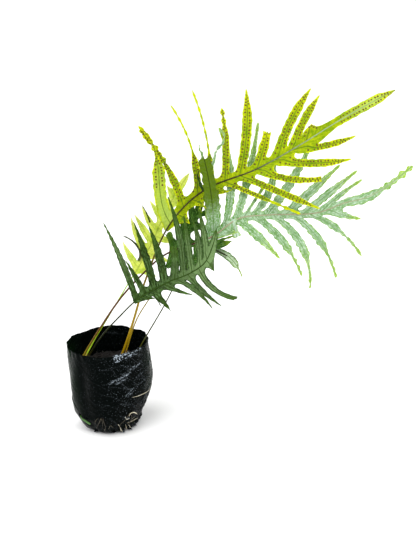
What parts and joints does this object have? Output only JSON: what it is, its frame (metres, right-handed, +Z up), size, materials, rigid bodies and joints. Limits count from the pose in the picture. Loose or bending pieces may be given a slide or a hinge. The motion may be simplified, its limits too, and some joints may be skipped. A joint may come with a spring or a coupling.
{
  "type": "potted fern",
  "caption": "Blue-green fern with deeply lobed arching fronds on a creeping scaly rhizome, in a black film planter bag of potting mix.",
  "frame": {"origin": "middle of the bag's flat base", "axes": "+Z up; the front of the plant faces -Y and its fronds arch towards +X"},
  "size_m": [0.5964, 0.2299, 0.5521],
  "materials": {
    "film": "glossy creased film",
    "mix": "rough crumbs",
    "rhizome": "golden papery scales",
    "root": "matte",
    "shoot": "satin",
    "stipe_gold": "satin",
    "stipe_brown": "satin",
    "stipe_green": "satin",
    "stipe_dark": "satin",
    "leaf_lime": "satin",
    "leaf_blue": "waxy bloom",
    "leaf_pale": "satin",
    "leaf_dark": "waxy bloom",
    "leaf_green": "satin"
  },
  "bodies": {
    "root": {"planter_bag": "film", "potting_mix": "mix", "rhizome": "rhizome", "root_left": "root", "root_middle": "root", "root_front": "root", "root_right": "root", "root_back": "root", "shoot": "shoot", "frond_fertile_stipe": "stipe_gold", "frond_fertile_blade": "leaf_lime", "frond_blue_stipe": "stipe_brown", "frond_blue_blade": "leaf_blue", "frond_pale_stipe": "stipe_green", "frond_pale_blade": "leaf_pale", "frond_dark_stipe": "stipe_dark", "frond_dark_blade": "leaf_dark", "frond_hidden_stipe": "stipe_gold", "frond_hidden_blade": "leaf_green", "frond_small_stipe": "stipe_dark", "frond_small_blade": "leaf_green"}
  },
  "joints": []
}
